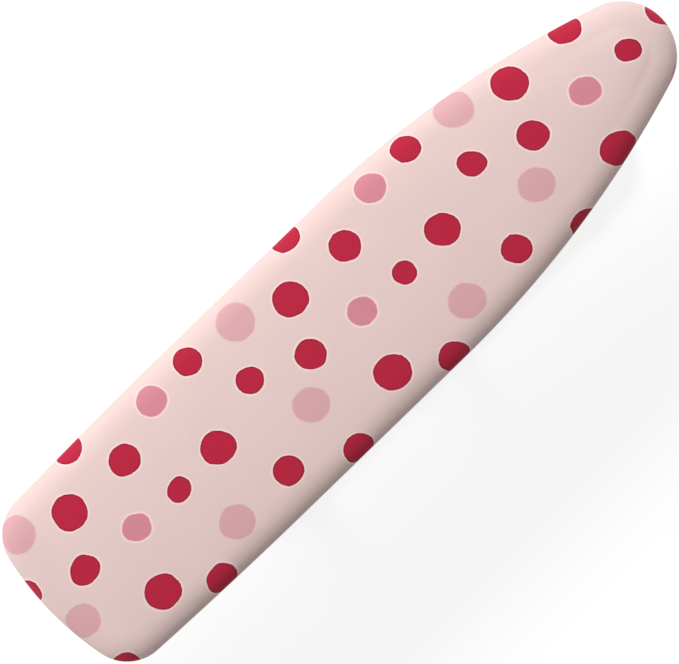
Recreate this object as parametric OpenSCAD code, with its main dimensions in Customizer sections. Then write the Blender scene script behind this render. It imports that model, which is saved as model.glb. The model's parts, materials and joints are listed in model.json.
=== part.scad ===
// Table-top sleeve ironing board: a padded board in a cotton cover, on a stand that folds flat.
// The board is carried by two U-shaped legs of equal length, so it stays level as they swing.
// Frame: origin on the ground under the board's centre, +X to the nose, +Y to the left, +Z up.

/* [Board outline] */
// Length of the covered board, heel to nose
board_l = 508; // [490:1:530]
// Greatest width of the covered board
board_w = 127; // [122:1:134]
// Radius of the round nose
nose_r = 33; // [29:0.5:37]
// Distance ahead of the centre where the sides start to taper to the nose
taper_x = 28; // [15:1:40]
// Distance behind the centre where the sides start to draw in to the heel
heel_x = 100; // [85:1:115]
// Radius of the long, almost straight sides at the heel
heel_side_r = 3200; // [2600:50:4000]
// Radius of the two heel corners
corner_r = 27; // [24:0.5:30]
// Radius of the slightly bowed heel end
heel_end_r = 190; // [150:5:230]

/* [Cover and pad] */
// Thickness of the cotton cover
cover_t = 0.8; // [0.6:0.1:1]
// Thickness of the foam pad under the cover
pad_t = 8.6; // [7:0.2:10]
// Width over which the padded top rolls down to the side
roll_w = 16; // [13:0.5:18]
// How far in from the side the cover's hem reaches under the board
hem_in = 13; // [11:0.5:14]
// Radius of the elastic in the hem
elastic_r = 1.4; // [1:0.1:1.6]

/* [Deck] */
// Thickness of the deck's steel sheet
deck_t = 1; // [0.8:0.1:1.2]
// Depth of the deck's turned-down flange, from the top of the sheet
flange_h = 9.2; // [8:0.2:10]
// Distance between the deck's vent holes along a row
vent_pitch = 18; // [16:1:24]
// Radius of a vent hole
vent_r = 3.2; // [2.4:0.1:3.6]

/* [Stand] */
// Height of the rails and leg pivots above the ground
pivot_h = 9; // [9:0.5:11]
// Distance of each rail's centre from the centre line
rail_y = 42; // [41:0.5:43]
// Outer radius of the rail tube
rail_r = 6; // [5.5:0.1:6]
// Wall of the rail tube
rail_wall = 1; // [0.8:0.1:1.5]
// Radius of the bends at the ends of the base loop, on the tube's centre line
bend_r = 30; // [26:1:32]
// Rear end of the base loop, behind the centre
loop_rear = 150; // [146:1:156]
// Front end of the base loop, ahead of the centre
loop_front = 198; // [190:1:204]
// Length of a rubber foot
foot_l = 14; // [12:0.5:15]
// Wall of a rubber foot outside the rail
foot_wall = 3; // [2.5:0.1:3]

/* [Legs] */
// Length of a leg from its pivot to the centre of its crossbar
leg_l = 90; // [84:1:94]
// Angle that the open legs lean towards the heel
lean = 18; // [15:0.5:20]
// Pivot of the rear leg, behind the centre
rear_pivot = 90; // [86:1:92]
// Distance between the rear and front pivots
pivot_gap = 120; // [110:1:130]
// Radius of the leg rod
rod_r = 4; // [3.6:0.1:4]
// Distance of each upright from the centre line
upright_y = 31; // [30.5:0.1:31]
// Radius of the leg's top bends, on the rod's centre line
leg_bend_r = 10; // [9:0.5:10]
// Radius of the pivot rivets
pin_r = 3; // [2.5:0.1:3]
// Radial play of a turning fit
fit = 0.05; // [0.03:0.01:0.08]
// Radial play of the front crossbar in its bushes
front_play = 0.3; // [0.2:0.05:0.35]

/* [Hidden] */
$fn = 48;
past = 1; // how far a cutting shape runs past what it cuts

// Places along X, behind and ahead of the centre, and the two sides
rear = -rear_pivot;
front = pivot_gap - rear_pivot;
left = 1;
right = -1;

// Leg eyes, their rivets and spacers
eye_r = 6.5;
eye_t = 3.4;
eye_neck = 13; // distance from the pivot at which the flattened rod is round again
side_play = 0.2; // gap beside a leg eye
rivet_head_r = 4.6;
rivet_head_t = 1.5;
spacer_r = 5.8;

// Stop bar: its seat is cut half a millimetre deep to fit the rails
stop_r = 5;
stop_seat = 0.5;
stop_gap = 0.05;
stop_end = 0.5; // length of the bar past each rail's centre
stop_z = pivot_h + rail_r + stop_r - stop_seat;
stop_reach = rod_r + stop_r + stop_gap; // from the leg's centre line to the bar's
stop_up = (stop_z - pivot_h + stop_reach * sin(lean)) / cos(lean);
stop_x = rear - stop_up * sin(lean) - stop_reach * cos(lean);

// Feet: clipped on from below, open over the top of the rail
foot_inset = 16; // from a rear pivot back to its foot's centre
foot_rear_x = rear - foot_inset;
foot_front_x = 140;
foot_top = pivot_h + rail_r / 2;
foot_r = rail_r + foot_wall;

// Heights of the board's layers
crossbar_x = -leg_l * sin(lean); // from a leg's pivot to its crossbar
crossbar_z = pivot_h + leg_l * cos(lean);
bush_wall = 1.3;
bush_r = rod_r + bush_wall;
bush_gap = 0.1;
deck_z = crossbar_z + bush_r + bush_gap; // underside of the deck sheet
deck_top = deck_z + deck_t;
layer_gap = 0.2; // between pad, cover and deck
board_h = deck_top + pad_t + 2 * layer_gap + cover_t;
roll_z = deck_top - layer_gap; // where the top's roll ends and the side starts

// The cover's lower edge, where it turns under the flange
turn_r = 2.4;
turn_d = 3.6;
turn_z = deck_top - flange_h + 0.6;
flange_d = 2.4; // inset of the flange's outer face from the cover's side
elastic_d = hem_in + elastic_r + 0.3;
elastic_z = turn_z - turn_r + elastic_r - 0.4;

// Saddles
saddle_y = 13;
saddle_w = 12;
saddle_t = 1.5;
saddle_ear = 19; // from the crossbar's centre to the end of an ear
bush_rim_r = 6.6;
bush_rim_t = 1.2;
rivet_x = 13;
rivet_r = 1.6;
saddle_rivet_head = 3.2;

// ---- Outline: arcs that meet smoothly, as points and their outward normals ----
half_w = board_w / 2;
half_l = board_l / 2;
nose_x = half_l - nose_r;
taper_run = nose_x - taper_x;
taper_r = (taper_run * taper_run + half_w * half_w - nose_r * nose_r) / (2 * (half_w - nose_r));
taper_c = [taper_x, half_w - taper_r];
heel_c = [-heel_x, half_w - heel_side_r];
end_c = [heel_end_r - half_l, 0];
corner_c = circles_meet(end_c, heel_end_r - corner_r, heel_c, heel_side_r - corner_r);

// The upper point where two circles cross
function circles_meet(c1, r1, c2, r2) =
    let (gap = c2 - c1,
         d = norm(gap),
         along = gap / d,
         a = (r1 * r1 - r2 * r2 + d * d) / (2 * d),
         h = sqrt(r1 * r1 - a * a))
    c1 + a * along + h * [along[1], -along[0]];
function angle_of(v) = atan2(v[1], v[0]);
function arc(c, r, from, to, steps) =
    [for (i = [0:steps])
        let (t = from + (to - from) * i / steps, n = [cos(t), sin(t)])
        [c + r * n, n]];
function reversed(list) = [for (i = [len(list) - 1:-1:0]) list[i]];
function without_first(list) = [for (i = [1:len(list) - 1]) list[i]];
function without_ends(list) = [for (i = [1:len(list) - 2]) list[i]];

nose_turn = angle_of([nose_x, 0] - taper_c);
heel_turn = angle_of(corner_c - heel_c);
end_turn = angle_of(corner_c - end_c);
left_half = concat(arc([nose_x, 0], nose_r, 0, nose_turn, 9),
                   without_first(arc(taper_c, taper_r, nose_turn, 90, 10)),
                   arc(heel_c, heel_side_r, 90, heel_turn, 3),
                   without_first(arc(corner_c, corner_r, heel_turn, end_turn, 7)),
                   without_first(arc(end_c, heel_end_r, end_turn, 180, 3)));
mirrored = [for (p = reversed(without_ends(left_half))) [[p[0][0], -p[0][1]], [p[1][0], -p[1][1]]]];
outline = concat(left_half, mirrored);
function inset(d) = [for (p = outline) p[0] - d * p[1]];
function ring(d, z) = [for (p = inset(d)) [p[0], p[1], z]];

// Half of the cover's width at a place along the board
function half_width(x) =
    x > nose_x ? sqrt(max(0, nose_r * nose_r - pow(x - nose_x, 2)))
    : x > taper_x ? taper_c[1] + sqrt(taper_r * taper_r - pow(x - taper_x, 2))
    : x > corner_c[0] ? half_w
    : corner_c[1] + sqrt(max(0, corner_r * corner_r - pow(x - corner_c[0], 2)));

// ---- Profiles of the soft parts: [inset, height] from the top's edge down ----
function edge_roll(d, z, top, steps = 6) =
    [for (i = [0:steps]) let (t = 90 - 90 * i / steps)
        [roll_w - (roll_w - d) * cos(t), z + (top - z) * sin(t)]];
function lower_turn(r, steps = 3) =
    [for (i = [0:steps]) let (t = 90 * i / steps) [turn_d - r * cos(t), turn_z - r * sin(t)]];
function cover_face(d) =
    concat(edge_roll(d, roll_z, board_h - d), lower_turn(turn_r - d), [[hem_in, turn_z - turn_r + d]]);
function round_section(d, z, r, sides = 8) =
    [for (i = [0:sides - 1]) let (t = 90 - 360 * i / sides) [d - r * cos(t), z + r * sin(t)]];

// A solid whose surface is the outline's rings at each [inset, height]; closed joins last to first
module rings(profile, closed = false) {
    n = len(outline);
    m = len(profile);
    points = [for (p = profile) each ring(p[0], p[1])];
    sides = [for (k = [0:closed ? m - 1 : m - 2], i = [0:n - 1])
        let (j = (i + 1) % n, up = k * n, down = ((k + 1) % m) * n)
        each [[up + i, up + j, down + j], [up + i, down + j, down + i]]];
    caps = closed ? [] : [[for (i = [n - 1:-1:0]) i], [for (i = [0:n - 1]) (m - 1) * n + i]];
    polyhedron(points = points, faces = concat(sides, caps), convexity = 6);
}

// ---- Round bars ----
module bar_x(x0, x1, r) translate([x0, 0, 0]) rotate([0, 90, 0]) cylinder(r = r, h = x1 - x0);
module bar_y(y0, y1, r) translate([0, y1, 0]) rotate([90, 0, 0]) cylinder(r = r, h = y1 - y0);
module quarter_bend(centre_r, r, from) rotate([0, 0, from]) rotate_extrude(angle = 90)
    translate([centre_r, 0]) circle(r = r);

// ---- Stand ----
module loop_rod(r) {
    x0 = -loop_rear + rail_r + bend_r;
    x1 = loop_front - rail_r - bend_r;
    y = rail_y - bend_r;
    for (side = [left, right]) translate([0, side * rail_y, 0]) bar_x(x0, x1, r);
    translate([x0 - bend_r, 0, 0]) bar_y(-y, y, r);
    translate([x1 + bend_r, 0, 0]) bar_y(-y, y, r);
    translate([x1, y, 0]) quarter_bend(bend_r, r, 0);
    translate([x0, y, 0]) quarter_bend(bend_r, r, 90);
    translate([x0, -y, 0]) quarter_bend(bend_r, r, 180);
    translate([x1, -y, 0]) quarter_bend(bend_r, r, 270);
}
module base_loop() color("gainsboro") translate([0, 0, pivot_h]) difference() {
    loop_rod(rail_r);
    loop_rod(rail_r - rail_wall);
    for (x = [rear, front]) translate([x, 0, 0]) bar_y(-rail_y - rail_r - past, rail_y + rail_r + past, pin_r);
}
module rails() for (side = [left, right]) translate([0, side * rail_y, pivot_h])
    bar_x(-loop_rear, loop_front, rail_r);
module stop_bar() color("gainsboro") difference() {
    translate([stop_x, 0, stop_z]) bar_y(-rail_y - stop_end, rail_y + stop_end, stop_r);
    rails();
}
module foot(x, side) color("dimgray") translate([x - foot_l / 2, side * rail_y, pivot_h]) difference() {
    union() {
        bar_x(0, foot_l, foot_r);
        translate([0, -foot_r, -pivot_h]) cube([foot_l, 2 * foot_r, pivot_h]);
    }
    bar_x(-past, foot_l + past, rail_r);
    translate([-past, -foot_r - past, foot_top - pivot_h]) cube([foot_l + 2 * past, 2 * foot_r + 2 * past, foot_r]);
    translate([-past, -foot_r - past, -pivot_h - foot_r]) cube([foot_l + 2 * past, 2 * foot_r + 2 * past, foot_r]);
}
module pivot_rivet(x, side) color("silver") {
    inner = upright_y - eye_t / 2 - side_play;
    outer = rail_y + rail_r;
    translate([x, 0, pivot_h]) scale([1, side, 1]) {
        bar_y(inner - rivet_head_t, outer, pin_r);
        bar_y(inner - rivet_head_t, inner, rivet_head_r);
        difference() {
            bar_y(outer - rail_r / 3, outer + rivet_head_t, rivet_head_r);
            translate([0, rail_y, 0]) bar_x(-2 * rail_r, 2 * rail_r, rail_r);
        }
    }
}
module pivot_spacer(x, side) color("white") translate([x, 0, pivot_h]) scale([1, side, 1]) difference() {
    bar_y(upright_y + eye_t / 2 + side_play, rail_y - rail_r / 2, spacer_r);
    translate([0, rail_y, 0]) bar_x(-2 * rail_r, 2 * rail_r, rail_r);
    bar_y(0, rail_y, pin_r);
}

// ---- Legs: drawn upright with the pivot at the origin, then leant back ----
module leg_eye(side) translate([0, side * upright_y, 0]) {
    bar_y(-eye_t / 2, eye_t / 2, eye_r);
    translate([0, 0, eye_r / 2]) cube([2 * eye_r * 0.85, eye_t, eye_r], center = true);
    hull() {
        translate([0, 0, eye_r]) cube([2 * eye_r * 0.85, eye_t, 0.2], center = true);
        translate([0, 0, eye_neck]) cylinder(r = rod_r, h = 0.1, $fn = 32);
    }
}
module leg(x) color("gainsboro") translate([x, 0, pivot_h]) rotate([0, -lean, 0]) difference() {
    union() {
        for (side = [left, right]) {
            leg_eye(side);
            translate([0, side * upright_y, eye_neck]) cylinder(r = rod_r, h = leg_l - leg_bend_r - eye_neck);
            translate([0, side * (upright_y - leg_bend_r), leg_l - leg_bend_r]) scale([1, side, 1])
                rotate([0, 0, 90]) rotate([90, 0, 0]) quarter_bend(leg_bend_r, rod_r, 0);
        }
        translate([0, 0, leg_l]) bar_y(leg_bend_r - upright_y, upright_y - leg_bend_r, rod_r);
    }
    bar_y(-rail_y, rail_y, pin_r + fit);
}
module rear_leg() leg(rear);
module front_leg() leg(front);

// ---- Deck and its saddles ----
module deck_shape(d) polygon(inset(flange_d + d));
function by_saddle(x, y) = abs(y) < saddle_y + saddle_w
    && min([for (p = [rear, front]) abs(x - p - crossbar_x)]) < saddle_ear + vent_r + 2;
module deck_panel() color("lightgray") {
    row_gap = vent_pitch * sin(60);
    rows = floor(half_w / row_gap);
    columns = floor(half_l / vent_pitch);
    rim = flange_d + deck_t + vent_r + 6; // least distance of a vent hole's centre from the cover's side
    translate([0, 0, deck_z]) linear_extrude(deck_t) difference() {
        deck_shape(0);
        for (j = [-rows:rows], i = [-columns:columns]) {
            x = (i + (abs(j) % 2) / 2) * vent_pitch;
            y = j * row_gap;
            if (abs(y) < half_width(abs(x) + rim) - rim && !by_saddle(x, y)) translate([x, y]) circle(r = vent_r);
        }
        for (p = [rear, front], sx = [-1, 1], sy = [left, right])
            translate([p + crossbar_x + sx * rivet_x, sy * saddle_y]) circle(r = rivet_r);
    }
    translate([0, 0, deck_top - flange_h]) linear_extrude(flange_h - deck_t) difference() {
        deck_shape(0);
        deck_shape(deck_t);
    }
}
// Moves its children to the crossbar of the leg at pivot x, on one side
module at_crossbar(x, side) translate([x + crossbar_x, side * saddle_y, crossbar_z]) children();
module saddle(x, side) color("silver") at_crossbar(x, side) difference() {
    top = deck_z - crossbar_z;
    reach = bush_r + saddle_t;
    translate([0, saddle_w / 2, 0]) rotate([90, 0, 0]) linear_extrude(saddle_w) {
        difference() {
            circle(r = reach);
            circle(r = bush_r);
            translate([-2 * reach, 0]) square(4 * reach);
        }
        for (x0 = [-reach, bush_r]) translate([x0, 0]) square([saddle_t, top]);
        for (x0 = [-saddle_ear, reach]) translate([x0, top - saddle_t]) square([saddle_ear - reach, saddle_t]);
    }
    for (sx = [-1, 1]) translate([sx * rivet_x, 0, 0]) cylinder(r = rivet_r, h = top + past);
}
module bush(x, side, play) color("white") at_crossbar(x, side) difference() {
    union() {
        bar_y(-saddle_w / 2, saddle_w / 2, bush_r);
        for (sy = [left, right]) translate([0, sy * (saddle_w + bush_rim_t) / 2, 0])
            bar_y(-bush_rim_t / 2, bush_rim_t / 2, bush_rim_r);
    }
    bar_y(-saddle_w, saddle_w, rod_r + play);
    translate([-saddle_w, -saddle_w, bush_r + bush_gap / 2]) cube([2 * saddle_w, 2 * saddle_w, saddle_w]);
}
module saddle_rivets() color("silver")
    for (x = [rear, front], side = [left, right], sx = [-1, 1])
        at_crossbar(x, side) translate([sx * rivet_x, 0, 0]) {
            ear = deck_z - crossbar_z - saddle_t;
            translate([0, 0, ear]) cylinder(r = rivet_r, h = saddle_t + deck_t);
            translate([0, 0, ear]) difference() {
                scale([1, 1, 0.5]) sphere(r = saddle_rivet_head);
                translate([-rivet_x / 2, -rivet_x / 2, 0]) cube(rivet_x);
            }
        }

// ---- Soft parts ----
module foam_pad() color("whitesmoke")
    rings(edge_roll(cover_t + layer_gap, deck_top + layer_gap, board_h - cover_t - layer_gap));
module cotton_cover() color("mistyrose") rings(concat(cover_face(0), reversed(cover_face(cover_t))));
module cover_elastic() color("white") rings(round_section(elastic_d, elastic_z, elastic_r), closed = true);

base_loop();
stop_bar();
foot(foot_rear_x, left);  // foot_rear_left
foot(foot_rear_x, right);  // foot_rear_right
foot(foot_front_x, left);  // foot_front_left
foot(foot_front_x, right);  // foot_front_right
pivot_rivet(rear, left);  // pivot_rivet_rear_left
pivot_rivet(rear, right);  // pivot_rivet_rear_right
pivot_rivet(front, left);  // pivot_rivet_front_left
pivot_rivet(front, right);  // pivot_rivet_front_right
pivot_spacer(rear, left);  // pivot_spacer_rear_left
pivot_spacer(rear, right);  // pivot_spacer_rear_right
pivot_spacer(front, left);  // pivot_spacer_front_left
pivot_spacer(front, right);  // pivot_spacer_front_right
rear_leg();
front_leg();
deck_panel();
saddle(rear, left);  // saddle_rear_left
saddle(rear, right);  // saddle_rear_right
saddle(front, left);  // saddle_front_left
saddle(front, right);  // saddle_front_right
bush(rear, left, fit);  // bush_rear_left
bush(rear, right, fit);  // bush_rear_right
bush(front, left, front_play);  // bush_front_left
bush(front, right, front_play);  // bush_front_right
saddle_rivets();
foam_pad();
cotton_cover();
cover_elastic();
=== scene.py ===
"""Looks of a table-top sleeve ironing board: a padded board in a dotted cotton cover, on a folding stand.

The CAD frame gives the places and the overall sizes. Metres, +X to the board's round nose, +Y to its left,
+Z up.
"""

import json
import math

import bmesh
import bpy
import numpy as np
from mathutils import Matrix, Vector


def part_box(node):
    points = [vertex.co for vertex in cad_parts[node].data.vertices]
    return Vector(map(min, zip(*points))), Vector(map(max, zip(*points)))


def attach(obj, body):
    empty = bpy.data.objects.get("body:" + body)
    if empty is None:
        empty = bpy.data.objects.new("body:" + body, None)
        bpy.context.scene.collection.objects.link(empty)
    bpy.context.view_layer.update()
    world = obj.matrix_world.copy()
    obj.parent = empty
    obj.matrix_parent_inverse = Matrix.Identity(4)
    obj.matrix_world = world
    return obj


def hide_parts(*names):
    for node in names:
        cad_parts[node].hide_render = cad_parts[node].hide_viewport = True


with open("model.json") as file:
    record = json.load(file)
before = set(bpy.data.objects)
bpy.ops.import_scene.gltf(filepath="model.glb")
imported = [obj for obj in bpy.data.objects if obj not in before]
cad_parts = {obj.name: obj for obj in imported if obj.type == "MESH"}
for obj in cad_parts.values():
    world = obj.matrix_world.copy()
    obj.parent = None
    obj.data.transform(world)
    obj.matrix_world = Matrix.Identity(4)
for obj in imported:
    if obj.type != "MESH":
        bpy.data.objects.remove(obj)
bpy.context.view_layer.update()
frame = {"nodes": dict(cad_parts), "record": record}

# ---------------------------------------------------------------- the board's outline and layers
COVER_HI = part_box("cotton_cover")[1]
DECK_LO, DECK_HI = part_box("deck_panel")
ELASTIC_LO, ELASTIC_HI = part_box("cover_elastic")
RAIL_LO, RAIL_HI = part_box("base_loop")
HALF_L = COVER_HI.x
HALF_W = COVER_HI.y
TOP_Z = COVER_HI.z

NOSE_R = 0.033
TAPER_X = 0.028  # where the straight sides begin to taper to the nose
HEEL_X = -0.100  # where they begin to draw in to the heel
HEEL_SIDE_R = 3.2
CORNER_R = 0.027
HEEL_END_R = 0.190

LAYER_T = 0.0008  # thickness that the CAD gives the cover
LAYER_GAP = 0.0002
CLOTH_T = 0.0006
ROLL_W = 0.016  # width of the rolled edge, seen from above
CROWN = 0.0016  # height of the padded top's middle above the start of its rolled edge
CROWN_POWER = 2.5
ROLL_TOP = TOP_Z - CROWN
ROLL_Z = DECK_HI.z - LAYER_GAP
TURN_R = 0.0024  # radius at which the cover turns in under the flange
TURN_D = 0.0036  # distance of that turn's centre from the board's side
TURN_Z = DECK_LO.z + 0.0006
HEM_D = 0.013  # distance of the hem from the board's side
HEM_Z = TURN_Z - TURN_R
ELASTIC_R = (ELASTIC_HI.z - ELASTIC_LO.z) / 2
ELASTIC_D = HALF_L - ELASTIC_HI.x + ELASTIC_R
ELASTIC_Z = ELASTIC_LO.z + ELASTIC_R

RAIL_R = (RAIL_HI.z - RAIL_LO.z) / 2
RAIL_Z = (RAIL_HI.z + RAIL_LO.z) / 2
RAIL_Y = RAIL_HI.y - RAIL_R


def circles_meet(c1, r1, c2, r2):
    """The upper point where two circles cross."""
    gap = np.subtract(c2, c1)
    d = np.hypot(*gap)
    along = gap / d
    a = (r1 * r1 - r2 * r2 + d * d) / (2 * d)
    h = math.sqrt(r1 * r1 - a * a)
    return np.asarray(c1) + a * along + h * np.array([along[1], -along[0]])


def angle_of(v):
    return math.atan2(v[1], v[0])


def arc_points(centre, radius, start, end, spacing):
    """Points along an arc and their outward normals, without the last point."""
    steps = max(1, round(abs(end - start) * radius / spacing))
    t = start + (end - start) * np.arange(steps) / steps
    normals = np.stack([np.cos(t), np.sin(t)], 1)
    return np.asarray(centre) + radius * normals, normals


def board_outline(spacing):
    """The cover's outline seen from above, anticlockwise from the nose: points and outward normals."""
    nose = np.array([HALF_L - NOSE_R, 0.0])
    run = nose[0] - TAPER_X
    taper_r = (run * run + HALF_W**2 - NOSE_R**2) / (2 * (HALF_W - NOSE_R))
    taper = np.array([TAPER_X, HALF_W - taper_r])
    heel = np.array([HEEL_X, HALF_W - HEEL_SIDE_R])
    end = np.array([HEEL_END_R - HALF_L, 0.0])
    corner = circles_meet(end, HEEL_END_R - CORNER_R, heel, HEEL_SIDE_R - CORNER_R)
    nose_turn = angle_of(nose - taper)
    heel_turn = angle_of(corner - heel)
    end_turn = angle_of(corner - end)
    side_steps = round((TAPER_X - HEEL_X) / spacing)
    side_x = TAPER_X + (HEEL_X - TAPER_X) * np.arange(side_steps) / side_steps
    side = np.stack([side_x, np.full(side_steps, HALF_W)], 1)
    pieces = [
        arc_points(nose, NOSE_R, 0, nose_turn, spacing),
        arc_points(taper, taper_r, nose_turn, math.pi / 2, spacing),
        (side, np.tile([0.0, 1.0], (side_steps, 1))),
        arc_points(heel, HEEL_SIDE_R, math.pi / 2, heel_turn, spacing),
        arc_points(corner, CORNER_R, heel_turn, end_turn, spacing),
        arc_points(end, HEEL_END_R, end_turn, math.pi, spacing),
    ]
    points = np.concatenate([p for p, _ in pieces] + [[[-HALF_L, 0.0]]])
    normals = np.concatenate([n for _, n in pieces] + [[[-1.0, 0.0]]])
    flip = np.array([1.0, -1.0])
    return (
        np.concatenate([points, points[-2:0:-1] * flip]),
        np.concatenate([normals, normals[-2:0:-1] * flip]),
    )


def round_outline(points):
    """How far round the outline each of its points lies, as an angle, and the outline's length."""
    steps = np.hypot(*(np.roll(points, -1, 0) - points).T)
    length = steps.sum()
    return 2 * math.pi * np.concatenate([[0.0], np.cumsum(steps)[:-1]]) / length, length


def edge_roll(inset, z, top, steps):
    """From the crowned top over the rolled edge to the side, as [distance in from the side, height]."""
    slope = CROWN * CROWN_POWER / (HALF_W - ROLL_W)
    first = math.atan((top - z) / (slope * ROLL_W))
    t = first * (1 - np.arange(steps + 1) / steps)
    across = (ROLL_W - inset) * (1 - np.cos(t)) / (1 - math.cos(first))
    return np.stack([inset + across, z + (top - z) * np.sin(t) / math.sin(first)], 1)


# ---------------------------------------------------------------- mesh helpers
def new_object(name, vertices, faces, material, smooth=True):
    mesh = bpy.data.meshes.new(name)
    mesh.from_pydata([tuple(v) for v in vertices], [], faces)
    mesh.polygons.foreach_set("use_smooth", [smooth] * len(mesh.polygons))
    mesh.materials.append(material)
    mesh.update()
    piece = bpy.data.objects.new(name, mesh)
    bpy.context.scene.collection.objects.link(piece)
    return piece


def ring_faces(rows, count, closed=False):
    """Quads between rings of count points each, wound for rings that run anticlockwise and downward."""
    faces = []
    for k in range(rows if closed else rows - 1):
        up, down = k * count, ((k + 1) % rows) * count
        for i in range(count):
            j = (i + 1) % count
            faces.append((up + i, down + i, down + j, up + j))
    return faces


def tube_rings(path, radii, sides, closed):
    """Points of rings round a path, for ring_faces."""
    path = np.asarray(path)
    if closed:
        forward = np.roll(path, -1, 0) - np.roll(path, 1, 0)
    else:
        forward = np.gradient(path, axis=0)
    forward /= np.linalg.norm(forward, axis=1)[:, None]
    out = np.cross(forward, [0.0, 0.0, 1.0])
    out /= np.linalg.norm(out, axis=1)[:, None]
    up = np.cross(out, forward)
    a = -2 * math.pi * np.arange(sides) / sides
    radii = np.broadcast_to(radii, len(path))[:, None, None]
    rings = np.cos(a)[None, :, None] * out[:, None] + np.sin(a)[None, :, None] * up[:, None]
    return (path[:, None] + radii * rings).reshape(-1, 3)


def flat_attribute(piece, flat):
    """Stores where each point lies on the cloth before it is wrapped round the board."""
    layer = piece.data.attributes.new("flat", "FLOAT_VECTOR", "POINT")
    places = np.column_stack([flat, np.zeros(len(flat))]).astype(np.float32)
    layer.data.foreach_set("vector", places.ravel())


def merge_close(piece, reach, among=slice(None)):
    """Joins points of a mesh that lie within reach of each other."""
    mesh = bmesh.new()
    mesh.from_mesh(piece.data)
    mesh.verts.ensure_lookup_table()
    bmesh.ops.remove_doubles(mesh, verts=mesh.verts[among], dist=reach)
    mesh.to_mesh(piece.data)
    mesh.free()
    piece.data.update()


# ---------------------------------------------------------------- node helpers
def new_material(name):
    material = bpy.data.materials.new(name)
    material.use_nodes = True
    tree = material.node_tree
    return material, tree, tree.nodes["Principled BSDF"]


def add(tree, kind, **settings):
    node = tree.nodes.new(kind)
    for key, value in settings.items():
        setattr(node, key, value)
    return node


def wire(tree, value, socket):
    """Links an output to a socket, or sets the socket's own value."""
    if isinstance(value, bpy.types.NodeSocket):
        tree.links.new(value, socket)
    else:
        socket.default_value = value


def maths(tree, operation, *values, clamp=False):
    node = add(tree, "ShaderNodeMath", operation=operation, use_clamp=clamp)
    for value, socket in zip(values, node.inputs):
        wire(tree, value, socket)
    return node.outputs[0]


def vectors(tree, operation, *values):
    node = add(tree, "ShaderNodeVectorMath", operation=operation)
    for value, socket in zip(values, node.inputs):
        wire(tree, value, socket)
    return node.outputs["Value" if operation in ("LENGTH", "DOT_PRODUCT") else "Vector"]


def mix(tree, share, first, second):
    node = add(tree, "ShaderNodeMix", data_type="RGBA")
    wire(tree, share, node.inputs["Factor"])
    wire(tree, first, node.inputs[6])
    wire(tree, second, node.inputs[7])
    return node.outputs[2]


def fade(tree, value, start, end, low=0.0, high=1.0):
    """Smooth change from low to high as value goes from start to end."""
    node = add(tree, "ShaderNodeMapRange", interpolation_type="SMOOTHSTEP")
    for socket, number in zip(node.inputs, (value, start, end, low, high)):
        wire(tree, number, socket)
    return node.outputs[0]


def noise(tree, where, scale, detail=2.0, roughness=0.5):
    node = add(tree, "ShaderNodeTexNoise")
    wire(tree, where, node.inputs["Vector"])
    node.inputs["Scale"].default_value = scale
    node.inputs["Detail"].default_value = detail
    node.inputs["Roughness"].default_value = roughness
    return node


def bump(tree, shader, height, strength, distance, under=None):
    node = add(tree, "ShaderNodeBump")
    wire(tree, height, node.inputs["Height"])
    node.inputs["Strength"].default_value = strength
    node.inputs["Distance"].default_value = distance
    if under is not None:
        tree.links.new(under, node.inputs["Normal"])
    tree.links.new(node.outputs[0], shader.inputs["Normal"])
    return node.outputs[0]


def object_place(tree):
    return add(tree, "ShaderNodeTexCoord").outputs["Object"]


def srgb(r, g, b):
    """Linear colour of an 8-bit screen colour."""
    def one(c):
        c /= 255
        return c / 12.92 if c <= 0.04045 else ((c + 0.055) / 1.055) ** 2.4
    return (one(r), one(g), one(b), 1.0)


def grey(v):
    return (v, v, v, 1.0)


# ---------------------------------------------------------------- the printed cotton
REPEAT_X, REPEAT_Y = 0.186, 0.160
ELONGATION = 1.035  # how much longer than round each dot is
LONG_AXIS = math.radians(148)
SKEW = 0.48  # how much the repeat shortens per metre towards the board's left
BOW, BOW_AT = 0.0016, 0.19  # how far the print's rows are bowed, and at what distance along the board
STRAIGHT_FROM, STRAIGHT_TO = -0.02, 0.03  # across the heel's half, where the bow fades out
NOSE_PULL = 0.0022  # how far the cloth is drawn on towards the tip of the nose
PULL_FROM, PULL_TO = 0.16, 0.25  # where along the board the pull sets in and is complete
EDGE_WOBBLES = [(75.0, 0.0028), (420.0, 0.0006)]  # the dots' hand-cut edges: noise scale and size
THREAD_PITCH = 0.0005
WAVE_BANDS = 20  # a wave texture's phase, in radians per unit of its scaled coordinate

# One repeat of the print, in millimetres: place along and across the board, and radius
CRIMSON_DOTS = [
    (-36, 2, 9.5), (-22, 34, 11), (-8, -40, 11), (24, 34, 9.5), (38, -2, 7.5), (72, 0, 10.5), (92, 50, 9),
    (-92, -39, 9), (-73, 16, 8.5), (-53, -59, 9.5), (24, -59, 9.5), (1, 63, 9.5), (-44, 79, 8),
    (62, 80, 7.5),
]
ROSE_DOTS = [(4, -1, 9), (60, 48, 9.5)]
PALE_DOTS = [(52, -40, 11), (-56, -20, 11), (-56, 47, 12)]
MM = 0.001

CLOTH = srgb(231, 204, 200)
HALO = srgb(251, 221, 219)
CRIMSON = srgb(185, 29, 60)
CRIMSON_RIM = srgb(140, 16, 44)
ROSE = srgb(213, 136, 149)
PALE = srgb(219, 166, 171)


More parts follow.
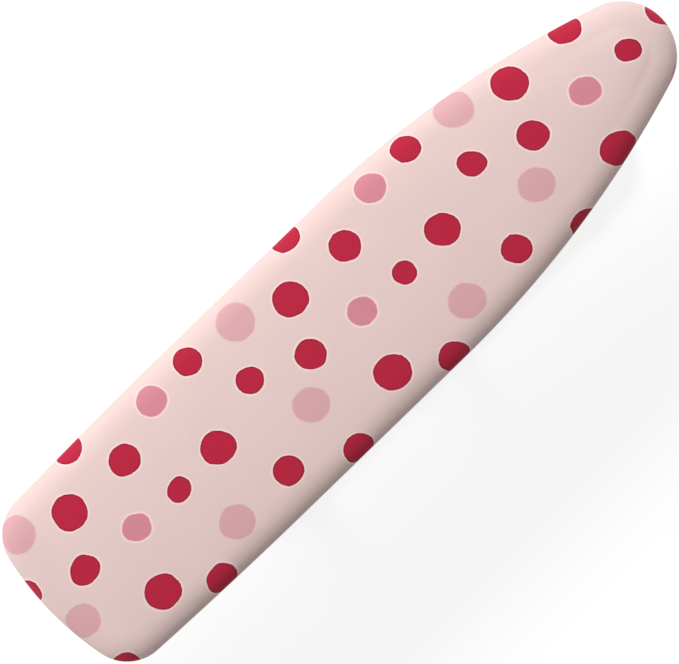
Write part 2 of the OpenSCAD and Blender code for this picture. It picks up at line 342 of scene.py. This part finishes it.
def dot_distance_group():
    """Node group: distance of a place on the cloth outside the nearest copy of one dot's edge."""
    group = bpy.data.node_groups.new("dot_distance", "ShaderNodeTree")
    inputs = {"Place": "NodeSocketVector", "Centre": "NodeSocketVector", "Radius": "NodeSocketFloat"}
    for name, kind in inputs.items():
        group.interface.new_socket(name, in_out="INPUT", socket_type=kind)
    group.interface.new_socket("Distance", in_out="OUTPUT", socket_type="NodeSocketFloat")
    inside = add(group, "NodeGroupInput")
    outside = add(group, "NodeGroupOutput")
    offset = vectors(group, "SUBTRACT", inside.outputs["Place"], inside.outputs["Centre"])
    half = Vector((REPEAT_X / 2, REPEAT_Y / 2, 1.0))
    nearest = vectors(group, "WRAP", offset, half, -half)
    oval = add(group, "ShaderNodeMapping", vector_type="POINT")
    group.links.new(nearest, oval.inputs["Vector"])
    oval.inputs["Rotation"].default_value = (0, 0, -LONG_AXIS)
    squeeze = Vector((1 / ELONGATION, ELONGATION, 0))
    squeezed = vectors(group, "MULTIPLY", oval.outputs["Vector"], squeeze)
    reach = vectors(group, "LENGTH", squeezed)
    distance = maths(group, "SUBTRACT", reach, inside.outputs["Radius"])
    group.links.new(distance, outside.inputs["Distance"])
    return group


def nearest_dot(tree, group, place, dots):
    """Distance outside the nearest of a list of dots."""
    least = None
    for x, y, radius in dots:
        node = add(tree, "ShaderNodeGroup", node_tree=group)
        tree.links.new(place, node.inputs["Place"])
        node.inputs["Centre"].default_value = (x * MM, y * MM, 0)
        node.inputs["Radius"].default_value = radius * MM
        out = node.outputs["Distance"]
        least = out if least is None else maths(tree, "MINIMUM", least, out)
    return least


def print_place(tree, flat):
    """Where the cloth's print sits: pulled a little askew and bowed, with hand-cut edges."""
    parts = add(tree, "ShaderNodeSeparateXYZ")
    tree.links.new(flat, parts.inputs[0])
    x, y, _ = parts.outputs
    shrink = maths(tree, "SUBTRACT", 1.0, maths(tree, "MULTIPLY", y, SKEW))
    pulled = maths(tree, "SUBTRACT", x, fade(tree, x, PULL_FROM, PULL_TO, 0.0, NOSE_PULL))
    bow = maths(tree, "MULTIPLY", maths(tree, "MULTIPLY", x, x), BOW / BOW_AT**2)
    at_heel = maths(tree, "LESS_THAN", x, 0.0)
    straight = maths(tree, "MULTIPLY", at_heel, fade(tree, y, STRAIGHT_FROM, STRAIGHT_TO))
    bow = maths(tree, "MULTIPLY", bow, maths(tree, "SUBTRACT", 1.0, straight))
    joined = add(tree, "ShaderNodeCombineXYZ")
    tree.links.new(maths(tree, "DIVIDE", pulled, shrink), joined.inputs[0])
    tree.links.new(maths(tree, "SUBTRACT", y, bow), joined.inputs[1])
    place = joined.outputs[0]
    for scale, size in EDGE_WOBBLES:
        cloud = noise(tree, flat, scale, 1.0).outputs["Color"]
        shift = vectors(tree, "SUBTRACT", cloud, Vector((0.5, 0.5, 0.5)))
        place = vectors(tree, "ADD", place, vectors(tree, "MULTIPLY", shift, Vector((size, size, 0))))
    return place


def thread_heights(tree, flat, pitch):
    """Plain weave: warp and weft rise over each other in turn."""
    waves = []
    for direction in ("X", "Y"):
        node = add(tree, "ShaderNodeTexWave", wave_type="BANDS", bands_direction=direction)
        tree.links.new(flat, node.inputs["Vector"])
        node.inputs["Scale"].default_value = 2 * math.pi / (WAVE_BANDS * pitch)
        node.inputs["Distortion"].default_value = 1.2
        node.inputs["Detail"].default_value = 1.0
        node.inputs["Detail Scale"].default_value = 2.0
        waves.append(node.outputs["Fac"])
    checker = add(tree, "ShaderNodeTexChecker")
    tree.links.new(flat, checker.inputs["Vector"])
    checker.inputs["Scale"].default_value = 1 / pitch
    choose = add(tree, "ShaderNodeMix", data_type="FLOAT")
    tree.links.new(checker.outputs["Fac"], choose.inputs[0])
    tree.links.new(waves[0], choose.inputs[2])
    tree.links.new(waves[1], choose.inputs[3])
    return choose.outputs[0]


def printed(tree, distance, full, none, strength=1.0):
    """How strongly a dot is printed: full up to one distance outside its edge, none from another, in mm."""
    return fade(tree, distance, full * MM, none * MM, strength, 0.0)


def cotton_material():
    """Plain-weave cotton with the printed dots, a little uneven in tone."""
    material, tree, shader = new_material("printed_cotton")
    flat = add(tree, "ShaderNodeAttribute", attribute_name="flat").outputs["Vector"]
    place = print_place(tree, flat)
    group = dot_distance_group()
    crimson = nearest_dot(tree, group, place, CRIMSON_DOTS)
    rose = nearest_dot(tree, group, place, ROSE_DOTS)
    pale = nearest_dot(tree, group, place, PALE_DOTS)

    slub = noise(tree, flat, 900.0, 3.0, 0.6).outputs["Fac"]
    cloud = noise(tree, flat, 28.0, 2.0).outputs["Fac"]
    fine = fade(tree, slub, 0.3, 0.7, -0.012, 0.012)
    broad = fade(tree, cloud, 0.3, 0.7, -0.008, 0.008)
    tint = maths(tree, "ADD", fine, broad)

    # A halo outside the strong dots, soft edges on the pale ones, and a darker rim of ink on the crimson
    colour = mix(tree, printed(tree, maths(tree, "MINIMUM", crimson, rose), 0.4, 1.7, 0.85), CLOTH, HALO)
    colour = mix(tree, printed(tree, pale, -0.7, 0.5, 0.96), colour, PALE)
    colour = mix(tree, printed(tree, rose, -0.5, 0.4), colour, ROSE)
    ink = mix(tree, fade(tree, crimson, -1.1 * MM, -0.3 * MM, 0.0, 0.8), CRIMSON, CRIMSON_RIM)
    colour = mix(tree, printed(tree, crimson, -0.1, 0.2), colour, ink)
    vary = add(tree, "ShaderNodeHueSaturation")
    tree.links.new(colour, vary.inputs["Color"])
    tree.links.new(maths(tree, "ADD", tint, 1.0), vary.inputs["Value"])
    tree.links.new(vary.outputs[0], shader.inputs["Base Color"])

    shader.inputs["Roughness"].default_value = 0.88
    shader.inputs["Specular IOR Level"].default_value = 0.25
    shader.inputs["Sheen Weight"].default_value = 0.12
    shader.inputs["Sheen Roughness"].default_value = 0.5
    soft = bump(tree, shader, slub, 0.25, 0.0002)
    bump(tree, shader, thread_heights(tree, flat, THREAD_PITCH), 0.3, 0.00012, under=soft)
    return material


# ---------------------------------------------------------------- other materials
def powder_coat(name, colour, dust):
    """Satin powder coat: fine orange peel, faint unevenness and slight wear where edges stand proud."""
    material, tree, shader = new_material(name)
    place = object_place(tree)
    cloud = noise(tree, place, 22.0, 3.0).outputs["Fac"]
    tone = mix(tree, fade(tree, cloud, 0.3, 0.7), colour, dust)
    worn = fade(tree, add(tree, "ShaderNodeNewGeometry").outputs["Pointiness"], 0.56, 0.68, 0.0, 0.35)
    tone = mix(tree, worn, tone, grey(0.5))
    tree.links.new(tone, shader.inputs["Base Color"])
    grain = noise(tree, place, 600.0, 2.0).outputs["Fac"]
    tree.links.new(fade(tree, grain, 0.2, 0.8, 0.3, 0.42), shader.inputs["Roughness"])
    shader.inputs["Specular IOR Level"].default_value = 0.55
    bump(tree, shader, grain, 0.12, 0.0003)
    return material


def plated_steel(name, colour, patch, low, high):
    """Plated steel: crystal-like patches and fine rubbing marks in the gloss."""
    material, tree, shader = new_material(name)
    place = object_place(tree)
    cells = add(tree, "ShaderNodeTexVoronoi")
    tree.links.new(place, cells.inputs["Vector"])
    cells.inputs["Scale"].default_value = 240.0
    split = add(tree, "ShaderNodeSeparateColor")
    tree.links.new(cells.outputs["Color"], split.inputs[0])
    tone = mix(tree, split.outputs[0], colour, patch)
    tree.links.new(tone, shader.inputs["Base Color"])
    shader.inputs["Metallic"].default_value = 1.0
    rubbed = noise(tree, place, 350.0, 4.0, 0.7).outputs["Fac"]
    tree.links.new(fade(tree, rubbed, 0.3, 0.7, low, high), shader.inputs["Roughness"])
    bump(tree, shader, rubbed, 0.08, 0.0001)
    return material


def moulded_nylon():
    material, tree, shader = new_material("nylon")
    place = object_place(tree)
    cloud = noise(tree, place, 60.0, 3.0).outputs["Fac"]
    tone = mix(tree, fade(tree, cloud, 0.3, 0.7), srgb(238, 235, 226), srgb(226, 222, 210))
    tree.links.new(tone, shader.inputs["Base Color"])
    tree.links.new(fade(tree, cloud, 0.2, 0.8, 0.38, 0.5), shader.inputs["Roughness"])
    shader.inputs["Subsurface Weight"].default_value = 0.15
    shader.inputs["Subsurface Radius"].default_value = (0.002, 0.002, 0.0015)
    bump(tree, shader, noise(tree, place, 1500.0, 2.0).outputs["Fac"], 0.1, 0.0001)
    return material


def moulded_rubber():
    material, tree, shader = new_material("foot_rubber")
    place = object_place(tree)
    bloom = noise(tree, place, 90.0, 4.0, 0.6).outputs["Fac"]
    tone = mix(tree, fade(tree, bloom, 0.35, 0.75), srgb(52, 52, 53), srgb(74, 73, 72))
    tree.links.new(tone, shader.inputs["Base Color"])
    tree.links.new(fade(tree, bloom, 0.2, 0.8, 0.62, 0.82), shader.inputs["Roughness"])
    bump(tree, shader, noise(tree, place, 1200.0, 3.0).outputs["Fac"], 0.25, 0.0002)
    return material


def needled_felt():
    material, tree, shader = new_material("pad_felt")
    place = object_place(tree)
    stretched = add(tree, "ShaderNodeMapping")
    tree.links.new(place, stretched.inputs["Vector"])
    stretched.inputs["Scale"].default_value = (1, 3, 1)
    fibre = noise(tree, stretched.outputs[0], 700.0, 5.0, 0.7).outputs["Fac"]
    cloud = noise(tree, place, 70.0, 3.0).outputs["Fac"]
    tone = mix(tree, fade(tree, fibre, 0.35, 0.65), srgb(214, 208, 196), srgb(240, 236, 226))
    tone = mix(tree, fade(tree, cloud, 0.3, 0.8, 0.0, 0.35), tone, srgb(196, 190, 178))
    tree.links.new(tone, shader.inputs["Base Color"])
    shader.inputs["Roughness"].default_value = 0.95
    shader.inputs["Sheen Weight"].default_value = 0.3
    shader.inputs["Sheen Roughness"].default_value = 0.6
    bump(tree, shader, fibre, 0.6, 0.0006)
    return material


def braided(name, colour, groove_shade_colour, rib):
    """Braided elastic or thread: fine ribs along and across, with painted shade in the grooves between them.
    """
    material, tree, shader = new_material(name)
    place = object_place(tree)
    weave = add(tree, "ShaderNodeTexVoronoi", feature="SMOOTH_F1")
    tree.links.new(place, weave.inputs["Vector"])
    weave.inputs["Scale"].default_value = 1 / rib
    height = weave.outputs["Distance"]
    # Painted shade: the colour turns to the second, darker colour in the grooves between the ribs
    tree.links.new(mix(tree, fade(tree, height, 0.2, 0.7), colour, groove_shade_colour), shader.inputs["Base Color"])
    shader.inputs["Roughness"].default_value = 0.85
    bump(tree, shader, maths(tree, "MULTIPLY", height, -1.0), 0.6, 0.0003)
    return material


COTTON = cotton_material()
STAND = powder_coat("stand_powder_coat", srgb(226, 224, 220), srgb(214, 212, 207))
DECK = powder_coat("deck_enamel", srgb(205, 206, 205), srgb(192, 193, 192))
ZINC = plated_steel("zinc_plate", srgb(196, 197, 196), srgb(168, 171, 174), 0.32, 0.5)
NICKEL = plated_steel("nickel_plate", srgb(214, 212, 206), srgb(196, 194, 188), 0.2, 0.34)
NYLON = moulded_nylon()
RUBBER = moulded_rubber()
FELT = needled_felt()
# The second, darker colour of each braid is painted shade for the grooves between its ribs
ELASTIC = braided("hem_elastic", srgb(240, 234, 230), srgb(206, 196, 192), 0.0009)
THREAD = braided("hem_thread", srgb(236, 222, 218), srgb(206, 190, 186), 0.0005)

SLOT_MATERIALS = {"stand_steel": STAND, "deck_steel": DECK, "saddle_steel": ZINC, "rivet_steel": NICKEL,
                  "nylon": NYLON}


# ---------------------------------------------------------------- the cover
OUTLINE_STEP = 0.0014
OUTLINE, NORMALS = board_outline(OUTLINE_STEP)
ROUND, PERIMETER = round_outline(OUTLINE)
SPINE_REAR, SPINE_FRONT = -0.205, HALF_L - NOSE_R  # ends of the line that the top's rings run out from
TOP_STEPS, ROLL_STEPS, SIDE_STEPS, TURN_STEPS, UNDER_STEPS = 13, 12, 6, 5, 10
GATHER = 0.0085  # spacing of the hem's gathers
GATHER_RISE = 0.0009
GATHER_SWAY = 0.0003
SIM_SCALE = 10.0  # the simulation runs on a larger copy, where the solver is steadier
SIM_FRAMES = 40
EXTRA_LENGTH = 0.16  # how much longer the hem was cut than the elastic holds it
MERGE_REACH = 1e-5


def ring_at(d, z):
    return np.column_stack([OUTLINE - d * NORMALS, np.full(len(OUTLINE), z)])


def inner_ring(share, top, crown=CROWN):
    """A ring inside the rolled edge: share 0 lies along the spine, share 1 where the edge begins to roll."""
    x = np.clip(OUTLINE[:, 0], SPINE_REAR, SPINE_FRONT)
    spine = np.column_stack([x, np.zeros(len(x))])
    flat = spine + share * (OUTLINE - ROLL_W * NORMALS - spine)
    return np.column_stack([flat, np.full(len(x), top - crown * share**CROWN_POWER)])


def edge_profile():
    """Over the rolled edge, down the side, round the flange's lower edge and in to the hem."""
    t = np.radians(90 * np.arange(TURN_STEPS + 1) / TURN_STEPS)
    turn = np.stack([TURN_D - TURN_R * np.cos(t), TURN_Z - TURN_R * np.sin(t)], 1)
    side = np.linspace([0.0, ROLL_Z], turn[0], SIDE_STEPS + 1)[1:-1]
    under = np.linspace(turn[-1], [HEM_D, HEM_Z], UNDER_STEPS + 1)[1:]
    return np.concatenate([edge_roll(0.0, ROLL_Z, ROLL_TOP, ROLL_STEPS), side, turn, under])


def lengths_along(profile):
    """Distance of each point of a profile from its start, along it."""
    return np.concatenate([[0.0], np.cumsum(np.hypot(*np.diff(profile, axis=0).T))])


def smooth_share(x):
    x = np.clip(x, 0, 1)
    return x * x * (3 - 2 * x)


def cover_rows():
    """The cover's rings, from the spine over the edge to the hem, and where each lies on the flat cloth."""
    rows = [inner_ring(k / TOP_STEPS, TOP_Z) for k in range(TOP_STEPS)]
    flats = [row[:, :2] for row in rows]
    profile = edge_profile()
    for (d, z), reach in zip(profile, lengths_along(profile)):
        rows.append(ring_at(d, z))
        flats.append(OUTLINE + (reach - ROLL_W) * NORMALS)
    return rows, flats


def gathered(row, share):
    """A ring under the board with the hem's gathers in it."""
    # The gathers lie closer in some places than in others
    bunching = 5.0 * np.sin(6 * ROUND) + 3.0 * np.sin(15 * ROUND + 2)
    wave = round(PERIMETER / GATHER) * ROUND + bunching
    moved = row.copy()
    moved[:, 2] += share * GATHER_RISE * np.sin(wave)
    moved[:, :2] += (share * GATHER_SWAY * np.cos(wave))[:, None] * NORMALS
    return moved


def buckled(rows):
    """Cloth simulation of the strip under the board, which the elastic holds shorter than it was cut."""
    count = len(OUTLINE)
    start = np.concatenate(rows) * SIM_SCALE
    piece = new_object("hem_simulation", start, ring_faces(len(rows), count), COTTON)
    held = piece.vertex_groups.new(name="held")
    first_two, last = range(2 * count), range((len(rows) - 1) * count, len(rows) * count)
    held.add([*first_two, *last], 1.0, "REPLACE")
    cloth = piece.modifiers.new("cloth", "CLOTH")
    settings = cloth.settings
    settings.quality = 6
    settings.mass = 0.12
    settings.air_damping = 3.0
    settings.tension_stiffness = 12.0
    settings.compression_stiffness = 12.0
    settings.shear_stiffness = 4.0
    settings.bending_stiffness = 4.0
    settings.vertex_group_mass = "held"
    settings.shrink_min = -EXTRA_LENGTH
    settings.effector_weights.gravity = 0.0
    cloth.collision_settings.use_collision = False
    cloth.point_cache.frame_start = 1
    cloth.point_cache.frame_end = SIM_FRAMES
    scene = bpy.context.scene
    for frame_number in range(1, SIM_FRAMES + 1):
        scene.frame_set(frame_number)
    result = piece.evaluated_get(bpy.context.evaluated_depsgraph_get()).data
    places = np.empty(3 * len(result.vertices))
    result.vertices.foreach_get("co", places)
    scene.frame_set(1)
    bpy.data.objects.remove(piece)
    return list(relaxed((places / SIM_SCALE).reshape(len(rows), count, 3)))


def relaxed(rings):
    """Evens out creases finer than the cloth would hold; the first two and last two rings stay."""
    for _ in range(3):
        beside = (np.roll(rings, 1, 1) + np.roll(rings, -1, 1)) / 2
        between = (rings[1:-3] + rings[3:-1]) / 2
        rings[2:-2] = 0.4 * rings[2:-2] + 0.35 * beside[2:-2] + 0.25 * between
    return rings


def make_cover():
    """The cover, with gathers under the board, and the ring that its hem is stitched along."""
    rows, flats = cover_rows()
    for k in range(UNDER_STEPS):
        at = k - UNDER_STEPS
        rows[at] = gathered(rows[at], smooth_share((k + 1) / UNDER_STEPS))
    rows[-UNDER_STEPS - 2:] = buckled(rows[-UNDER_STEPS - 2:])
    piece = new_object("cover", np.concatenate(rows), ring_faces(len(rows), len(OUTLINE)), COTTON)
    flat_attribute(piece, np.concatenate(flats))
    merge_close(piece, MERGE_REACH, among=slice(len(OUTLINE)))
    return piece, rows[-2]


def thicken(piece, thickness):
    """Gives a cloth surface its thickness, on its inner side."""
    solid = piece.modifiers.new("thickness", "SOLIDIFY")
    solid.thickness = thickness
    solid.offset = -1.0


cover, stitch_line = make_cover()
thicken(cover, CLOTH_T)
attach(cover, "deck")
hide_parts("cotton_cover")


# ---------------------------------------------------------------- the pad
def make_pad():
    """Felt pad: flat on the deck, crowned on top and rolled over at the edge, just inside the cover."""
    gap = LAYER_T + LAYER_GAP
    base = DECK_HI.z + LAYER_GAP
    upper = [inner_ring(share, TOP_Z - gap) for share in (0, 0.25, 0.5, 0.75)]
    edge = [ring_at(d, z) for d, z in edge_roll(gap, base, ROLL_TOP - gap, 8)]
    under = [ring_at(share * ROLL_W, base) for share in (0.35, 1.0)]
    lower = [inner_ring(share, base, crown=0.0) for share in (0.66, 0.33, 0)]
    rows = [*upper, *edge, *under, *lower]
    piece = new_object("felt_pad", np.concatenate(rows), ring_faces(len(rows), len(OUTLINE)), FELT)
    merge_close(piece, MERGE_REACH)
    return piece


pad = make_pad()
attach(pad, "deck")
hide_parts("foam_pad")


# ---------------------------------------------------------------- the hem's elastic and its stitches
BRAID_HALF_W = 1.15 * ELASTIC_R
BRAID_HALF_T = 0.75 * ELASTIC_R


def make_elastic():
    """Flat braided elastic along the hem."""
    sides = 12
    rows = []
    for k in range(sides):
        t = math.pi / 2 - 2 * math.pi * k / sides
        rows.append(ring_at(ELASTIC_D - BRAID_HALF_W * math.cos(t), ELASTIC_Z + BRAID_HALF_T * math.sin(t)))
    faces = ring_faces(sides, len(OUTLINE), closed=True)
    return new_object("elastic", np.concatenate(rows), faces, ELASTIC)


def make_stitches():
    """Zigzag stitches that hold the elastic to the hem: on the cloth, and round the elastic's underside."""
    thread_r = 0.00022
    every = 2  # outline points between one turn of the zigzag and the next
    sides = 6
    on_cloth = stitch_line[::every] - [0, 0, thread_r]
    on_elastic = ring_at(ELASTIC_D + 0.0002, ELASTIC_Z - BRAID_HALF_T - thread_r)[::every]
    turns = np.where((np.arange(len(on_cloth)) % 2 == 0)[:, None], on_cloth, on_elastic)
    step = (np.roll(turns, -1, 0) - turns) / 3
    path = np.stack([turns, turns + step, turns + 2 * step], 1).reshape(-1, 3)
    vertices = tube_rings(path, thread_r, sides, closed=True)
    return new_object("hem_stitches", vertices, ring_faces(len(path), sides, closed=True), THREAD)


for trim in (make_elastic(), make_stitches()):
    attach(trim, "deck")
    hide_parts("cover_elastic")


# ---------------------------------------------------------------- CAD nodes that stay
slot_of = {s["node"]: s["material_slot"] for s in frame["record"]["subparts"]}
for name, node in frame["nodes"].items():
    if slot_of[name] in SLOT_MATERIALS:
        node.data.materials.clear()
        node.data.materials.append(SLOT_MATERIALS[slot_of[name]])
        # The nodes' own normals keep their edges sharp
        node.data.polygons.foreach_set("use_smooth", [True] * len(node.data.polygons))


# ---------------------------------------------------------------- feet and pivot rivets
CORNER_ANGLE = math.radians(40)


def keep_corners(piece):
    """Turns every face outward and shades only corners sharper than CORNER_ANGLE as edges."""
    mesh = bmesh.new()
    mesh.from_mesh(piece.data)
    bmesh.ops.remove_doubles(mesh, verts=mesh.verts[:], dist=1e-6)
    bmesh.ops.recalc_face_normals(mesh, faces=mesh.faces[:])
    mesh.to_mesh(piece.data)
    mesh.free()
    piece.data.set_sharp_from_angle(angle=CORNER_ANGLE)


def make_foot(node):
    """Moulded rubber foot: clips round the rail from below, grooved sole, rounded all over."""
    lo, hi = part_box(node)
    half = (hi.y - lo.y) / 2
    lip = math.asin((hi.z - RAIL_Z) / half)
    bore_lip = math.asin((hi.z - RAIL_Z) / RAIL_R)
    groove_spacing = 0.0048
    groove_half_w = 0.0009
    groove_h = 0.0008
    outer = [(half * math.cos(a), RAIL_Z + half * math.sin(a)) for a in np.linspace(0, lip, 4)]
    profile = [*outer[::-1], (half, 0.0)]
    for middle in (groove_spacing, 0.0, -groove_spacing):
        near, far = middle + groove_half_w, middle - groove_half_w
        profile += [(near, 0.0), (near, groove_h), (far, groove_h), (far, 0.0)]
    profile += [(-half, 0.0), *[(-y, z) for y, z in outer]]
    profile += [(RAIL_R * math.cos(a), RAIL_Z + RAIL_R * math.sin(a))
                for a in np.linspace(math.pi - bore_lip, 2 * math.pi + bore_lip, 24)]
    middle_y = (hi.y + lo.y) / 2
    count = len(profile)
    vertices = [(x, middle_y + y, z) for x in (lo.x, hi.x) for y, z in profile]
    faces = [(i, (i + 1) % count, count + (i + 1) % count, count + i) for i in range(count)]
    faces += [tuple(range(count)), tuple(range(count, 2 * count))]
    piece = new_object(node.replace("foot", "rubber_foot"), vertices, faces, RUBBER)
    bevel = piece.modifiers.new("rounded", "BEVEL")
    bevel.width = 0.0006
    bevel.segments = 3
    bevel.limit_method = "ANGLE"
    bevel.angle_limit = CORNER_ANGLE
    keep_corners(piece)
    return piece


def make_rivet(node):
    """Pivot rivet with a low domed head at each end."""
    lo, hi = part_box(node)
    head_r = (hi.z - lo.z) / 2
    shank_r = 0.003
    dome = 0.0011
    inner_head_t, outer_head_t = 0.0015, 0.0035
    x, z = (hi.x + lo.x) / 2, (hi.z + lo.z) / 2
    side = 1 if lo.y > 0 else -1
    start, end = (lo.y, hi.y) if side > 0 else (hi.y, lo.y)
    around = np.radians(np.arange(0, 91, 10))
    near = [(start + side * dome * (1 - math.cos(a)), head_r * math.sin(a)) for a in around]
    far = [(end - side * dome * (1 - math.cos(a)), head_r * math.sin(a)) for a in around[::-1]]
    shank_from, shank_to = start + side * inner_head_t, end - side * outer_head_t
    shank = [(shank_from, head_r), (shank_from, shank_r), (shank_to, shank_r), (shank_to, head_r)]
    sides = 40
    t = 2 * math.pi * np.arange(sides) / sides
    rings = [np.column_stack([x + r * np.cos(t), np.full(sides, y), z + r * np.sin(t)])
             for y, r in [*near, *shank, *far]]
    faces = ring_faces(len(rings), sides)
    piece = new_object(node.replace("rivet", "pin"), np.concatenate(rings), faces, NICKEL)
    keep_corners(piece)
    return piece


for name in frame["nodes"]:
    if name.startswith("foot_"):
        foot = make_foot(name)
        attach(foot, "base")
        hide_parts(name)
    elif name.startswith("pivot_rivet_"):
        rivet = make_rivet(name)
        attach(rivet, "base")
        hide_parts(name)


# ---------------------------------------------------------------- weld beads
def bead(name, path, radius, material):
    """A weld bead along a path: a rounded, rippled run of metal that thins out at both ends."""
    sides = 10
    t = np.linspace(0, 1, len(path))
    thinning = np.sqrt(np.clip(1 - (2 * t - 1) ** 6, 0.02, 1))
    ripples = 1 + 0.12 * np.sin(2 * math.pi * t * len(path) / 4)
    vertices = tube_rings(path, radius * (thinning * ripples), sides, closed=False)
    faces = ring_faces(len(path), sides)
    faces.append(tuple(range(sides)))
    faces.append(tuple(reversed(range(len(vertices) - sides, len(vertices)))))
    return new_object(name, vertices, faces, material)


def make_stop_welds():
    """Beads on both sides of the stop bar where it crosses each rail."""
    lo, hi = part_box("stop_bar")
    bead_r = 0.0011
    bead_dx = 0.0024  # from the bar's middle to the bead's
    bead_rise = 0.0004
    across = np.linspace(-0.6, 0.6, 25)  # how far over the rail the bead runs, in radians
    z = RAIL_Z + (RAIL_R * np.cos(across) + bead_rise)
    for side, side_name in ((1, "left"), (-1, "right")):
        y = side * (RAIL_Y + RAIL_R * np.sin(across))
        for end, end_name in ((-1, "rear"), (1, "front")):
            x = np.full(len(across), (lo.x + hi.x) / 2 + end * bead_dx)
            weld = bead(f"weld_{end_name}_{side_name}", np.column_stack([x, y, z]), bead_r, STAND)
            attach(weld, "base")


make_stop_welds()


# ---------------------------------------------------------------- stage: floor, light and camera
FLOOR_HALF = 30.0
FLOOR_GREY = 0.28
FLOOR_GLOW = 0.79  # brings the lit floor up to white and leaves only a faint shadow
WALL_R, WALL_CURVE, WALL_H = 14.0, 3.0, 12.0

KEY_HEIGHT = math.radians(34)
KEY_DISTANCE = 2.6
KEY_SIZE = 1.1
KEY_POWER = 66.0
ENDS_LIGHT, ENDS_POWER = 2.5, 6.0  # strength of the studio light at the board's ends, and how narrow it is
OVERHEAD_LIGHT = 0.26
GENERAL_LIGHT = 0.06

CAMERA_TURN = math.radians(44.15)
CAMERA_DISTANCE = 5.0
CAMERA_X, CAMERA_Y = -0.0143, -0.0006
WIDTH_SEEN = 0.4042
SENSOR = 36.0


def make_floor():
    """White floor, and the wall that it runs up into."""
    material, tree, shader = new_material("floor")
    shader.inputs["Base Color"].default_value = grey(FLOOR_GREY)
    shader.inputs["Roughness"].default_value = 0.9
    shader.inputs["Emission Color"].default_value = grey(1.0)
    shader.inputs["Emission Strength"].default_value = FLOOR_GLOW
    size = FLOOR_HALF
    corners = [(-size, -size, 0), (size, -size, 0), (size, size, 0), (-size, size, 0)]
    floor = new_object("floor", corners, [(0, 1, 2, 3)], material, smooth=False)
    floor.visible_diffuse = False
    make_backdrop(material)


def make_backdrop(material):
    """Pale wall far round the stage, curving up from just above the floor; it lights nothing."""
    count = 96
    above_floor = 0.001
    turn = 2 * math.pi * np.arange(count) / count
    rise = np.radians(np.arange(0, 91, 10))
    radii = WALL_R + WALL_CURVE * np.sin(rise)
    heights = above_floor + WALL_CURVE * (1 - np.cos(rise))
    profile = [*zip(radii, heights), (WALL_R + WALL_CURVE, WALL_H)]
    rings = [np.column_stack([r * np.cos(turn), r * np.sin(turn), np.full(count, z)]) for r, z in profile]
    wall = new_object("backdrop", np.concatenate(rings), ring_faces(len(rings), count), material)
    wall.visible_diffuse = False
    wall.visible_glossy = False
    wall.visible_shadow = False


def make_world():
    """Studio light from overhead and from beyond both ends of the board, dimmer from below."""
    world = bpy.data.worlds.new("studio")
    bpy.context.scene.world = world
    world.use_nodes = True
    tree = world.node_tree
    way = add(tree, "ShaderNodeSeparateXYZ")
    tree.links.new(add(tree, "ShaderNodeTexCoord").outputs["Generated"], way.inputs[0])
    toward_ends = maths(tree, "POWER", maths(tree, "ABSOLUTE", way.outputs[0]), ENDS_POWER)
    ends = maths(tree, "MULTIPLY", toward_ends, ENDS_LIGHT)
    overhead = maths(tree, "MULTIPLY", fade(tree, way.outputs[2], 0.0, 1.0), OVERHEAD_LIGHT)
    total = maths(tree, "ADD", maths(tree, "ADD", ends, overhead), GENERAL_LIGHT)
    background = tree.nodes["Background"]
    background.inputs["Color"].default_value = grey(1.0)
    tree.links.new(total, background.inputs["Strength"])


def make_key_light():
    """Soft lamp on the board's left, which shades its edges."""
    light = bpy.data.lights.new("key", "AREA")
    light.shape = "DISK"
    light.size = KEY_SIZE
    light.energy = KEY_POWER
    lamp = bpy.data.objects.new("key", light)
    bpy.context.scene.collection.objects.link(lamp)
    away, up = KEY_DISTANCE * math.cos(KEY_HEIGHT), KEY_DISTANCE * math.sin(KEY_HEIGHT)
    lamp.location = (0.0, away, TOP_Z + up)
    lamp.rotation_euler = Vector((0.0, -away, -up)).to_track_quat("-Z", "Y").to_euler()
    lamp.visible_camera = False


def make_camera():
    """Straight above the board through a long lens, turned so that the nose points up and to the right."""
    camera = bpy.data.cameras.new("camera")
    camera.sensor_width = SENSOR
    camera.lens = SENSOR * CAMERA_DISTANCE / WIDTH_SEEN
    camera.clip_end = 100.0
    holder = bpy.data.objects.new("camera", camera)
    bpy.context.scene.collection.objects.link(holder)
    holder.location = (CAMERA_X, CAMERA_Y, TOP_Z + CAMERA_DISTANCE)
    holder.rotation_euler = (0, 0, -CAMERA_TURN)
    bpy.context.scene.camera = holder


make_floor()
make_world()
make_key_light()
make_camera()
bpy.context.scene.view_settings.view_transform = "Standard"
